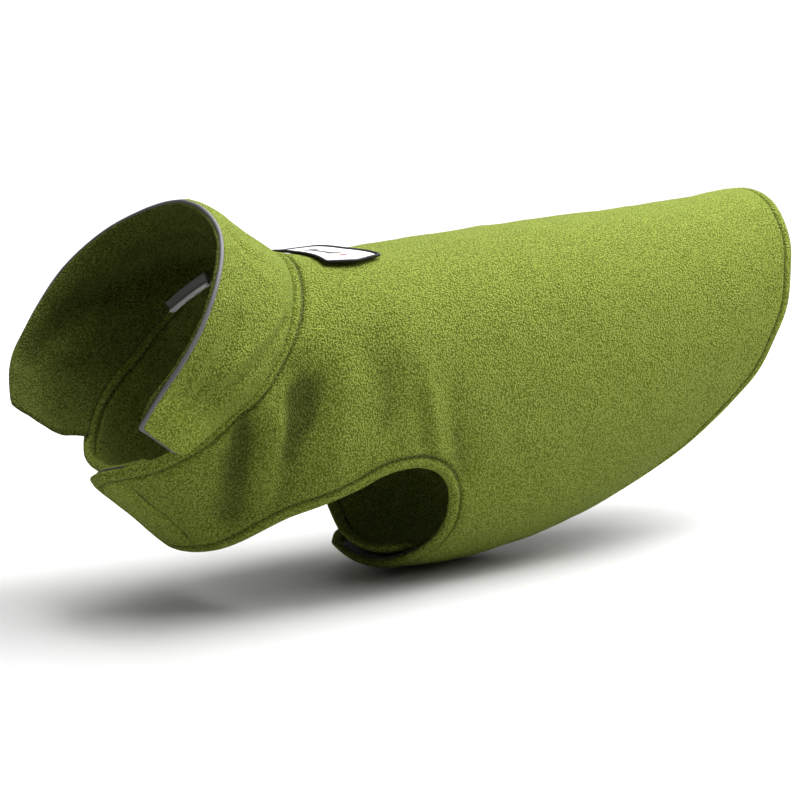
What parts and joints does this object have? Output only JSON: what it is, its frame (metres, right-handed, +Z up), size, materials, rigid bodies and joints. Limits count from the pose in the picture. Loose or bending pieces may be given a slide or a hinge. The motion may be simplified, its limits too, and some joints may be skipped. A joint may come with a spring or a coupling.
{
  "type": "dog winter coat",
  "caption": "Two-layer fleece dog coat: back and sides in one panel, stand-up piped collar, chest and belly bands fastened underneath, held in its worn hollow shape.",
  "frame": {"origin": "inside the coat against the wearer's withers, on the top centre line about 45 mm behind the neck seam", "axes": "+X from head to tail, -Y the wearer's left side, +Z up"},
  "size_m": [0.4881, 0.1515, 0.2091],
  "materials": {
    "fleece": "pebbly anti-pill fleece, matt with a soft lighter sheen at grazing angles",
    "piping": "smooth reflective-look grey cord piping",
    "patch": "woven twill, slight satin",
    "border": "overlocked thread, slight satin",
    "label": "woven satin ribbon",
    "hook_tape": "nylon hooks, matt",
    "loop_tape": "brushed nylon loops, matt"
  },
  "bodies": {
    "root": {"body_panel": "fleece", "collar": "fleece", "collar_piping": "piping", "back_patch": "patch", "patch_border": "border", "neck_label": "label", "chest_hook_tape": "hook_tape", "chest_loop_tape": "loop_tape", "belly_hook_tape": "hook_tape", "belly_loop_tape": "loop_tape"}
  },
  "joints": []
}
